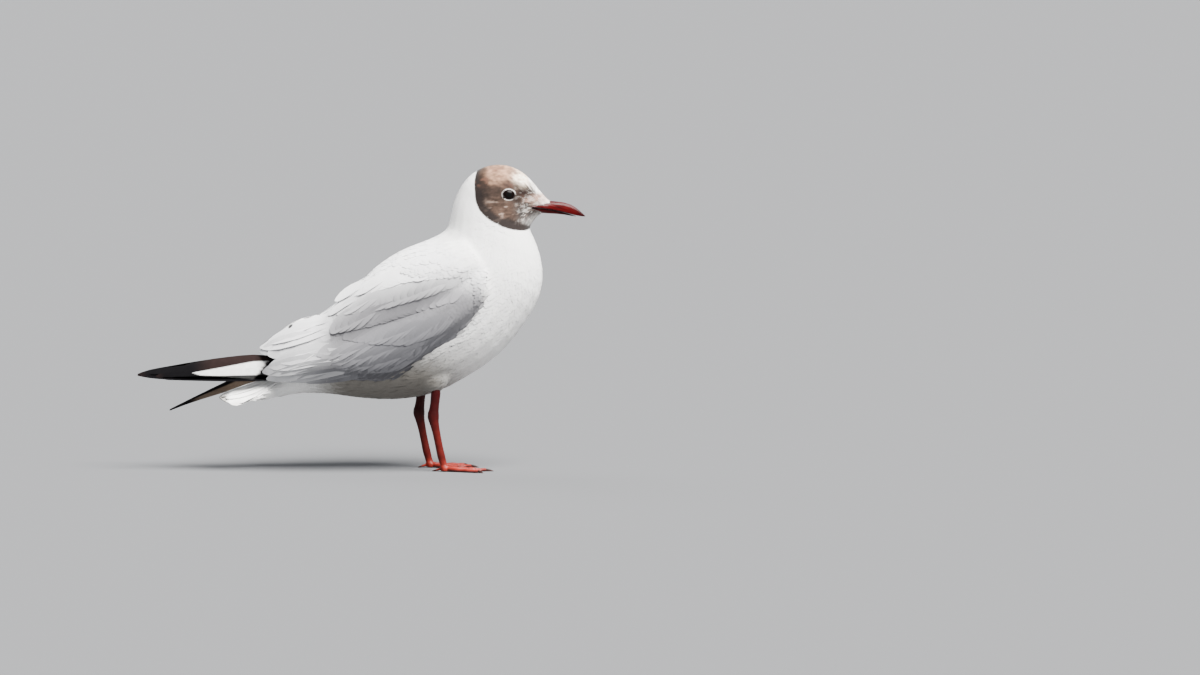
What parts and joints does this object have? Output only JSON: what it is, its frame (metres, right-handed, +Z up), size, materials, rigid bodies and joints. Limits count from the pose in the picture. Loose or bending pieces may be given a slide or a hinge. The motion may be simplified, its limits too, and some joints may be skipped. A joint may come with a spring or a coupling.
{
  "type": "black-headed gull",
  "caption": "Life-size still model of a standing black-headed gull with folded wings, a mottled brown hood in moult, and a dark red bill and webbed feet.",
  "frame": {"origin": "on the floor, under the middle of the bird's outline seen from above", "axes": "+X towards the bill, +Y to the bird's left, +Z up"},
  "size_m": [0.3762, 0.0976, 0.2568],
  "materials": {
    "white_breast": "matt, dense white feathers over flesh",
    "white_down": "matt, soft white down and coverts",
    "hood": "matt, short mottled brown and white feathers",
    "grey_wing": "matt, smooth pale grey feathers",
    "pale_wing": "matt, very pale grey feathers with white edges",
    "black_quill": "satin, black flight feathers with a white wedge",
    "bill": "satin horn",
    "eye": "wet gloss",
    "leg": "satin, scaled skin",
    "claw": "satin horn"
  },
  "bodies": {
    "root": {"head": "hood", "neck": "white_breast", "breast": "white_breast", "abdomen": "white_down", "rump": "white_down", "tail": "white_down", "bill_upper": "bill", "bill_lower": "bill", "eye_left": "eye", "wing_left_scapulars": "grey_wing", "wing_left_coverts": "grey_wing", "wing_left_tertials": "pale_wing", "wing_left_secondaries": "pale_wing", "wing_left_primaries": "black_quill", "tibia_left": "leg", "tarsus_left": "leg", "foot_left": "leg", "claw_inner_left": "claw", "claw_middle_left": "claw", "claw_outer_left": "claw", "claw_hind_left": "claw", "eye_right": "eye", "wing_right_scapulars": "grey_wing", "wing_right_coverts": "grey_wing", "wing_right_tertials": "pale_wing", "wing_right_secondaries": "pale_wing", "wing_right_primaries": "black_quill", "tibia_right": "leg", "tarsus_right": "leg", "foot_right": "leg", "claw_inner_right": "claw", "claw_middle_right": "claw", "claw_outer_right": "claw", "claw_hind_right": "claw"}
  },
  "joints": []
}
